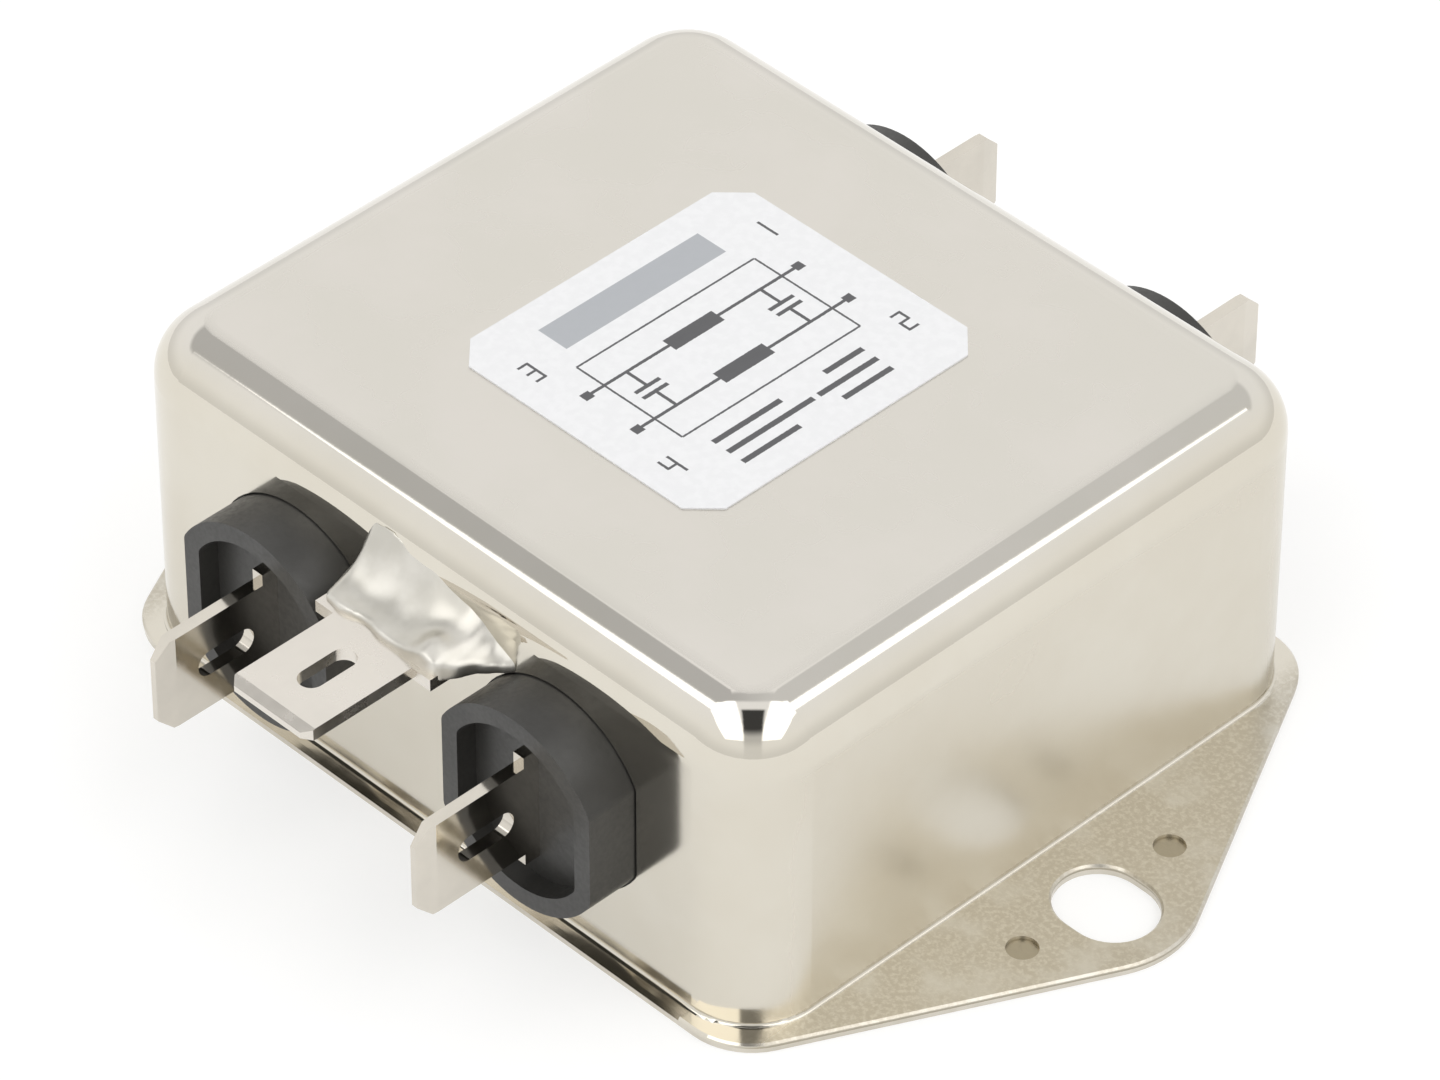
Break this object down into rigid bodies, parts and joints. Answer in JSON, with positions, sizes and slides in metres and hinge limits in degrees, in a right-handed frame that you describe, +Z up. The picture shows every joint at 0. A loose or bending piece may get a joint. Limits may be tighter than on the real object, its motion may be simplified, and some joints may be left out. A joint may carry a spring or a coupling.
{
  "type": "flange-mounted power-line EMI filter",
  "caption": "Drawn metal can with two slotted mounting ears, shrouded push-on blades on both sides, an earth tab and a common-mode choke with capacitors inside.",
  "frame": {"origin": "centre of the underside of the base plate", "axes": "+Z up through the label, +X along the two mounting ears, +Y from the line terminals to the load terminals"},
  "size_m": [0.0712, 0.0671, 0.0224],
  "materials": {
    "nickel_can": "bright nickel-plated drawn steel sheet",
    "nickel_plate": "nickel-plated flat steel sheet",
    "label_foil": "pale satin foil",
    "fibre_sheet": "thin insulating sheet",
    "moulding": "dark grey moulded thermoplastic, fine matte grain",
    "tinned_brass": "bright tin over stamped brass",
    "tinned_tab": "bright tin over stamped brass",
    "solder": "smooth bright solder",
    "ferrite": "coated ferrite ring",
    "enamelled_copper": "enamelled copper wire",
    "divider_plastic": "moulded divider",
    "film_case": "moulded capacitor case",
    "disc_coating": "epoxy-dipped ceramic disc",
    "resistor_body": "lacquered resistor body",
    "resin": "filled casting resin"
  },
  "bodies": {
    "root": {"housing": "nickel_can", "base_plate": "nickel_plate", "label": "label_foil", "insulating_sheet": "fibre_sheet", "shroud_line_1": "moulding", "shroud_line_2": "moulding", "shroud_load_1": "moulding", "shroud_load_2": "moulding", "blade_line_1": "tinned_brass", "blade_line_2": "tinned_brass", "blade_load_1": "tinned_brass", "blade_load_2": "tinned_brass", "earth_tab": "tinned_tab", "earth_solder": "solder", "choke_core": "ferrite", "choke_winding_1": "enamelled_copper", "choke_winding_2": "enamelled_copper", "choke_divider": "divider_plastic", "film_capacitor_line": "film_case", "film_capacitor_load": "film_case", "disc_capacitor_1": "disc_coating", "disc_capacitor_2": "disc_coating", "case_joint_1": "solder", "case_joint_2": "solder", "bleed_resistor": "resistor_body", "solder_joint_line_1": "solder", "solder_joint_line_2": "solder", "solder_joint_load_1": "solder", "solder_joint_load_2": "solder", "potting_compound": "resin"}
  },
  "joints": []
}
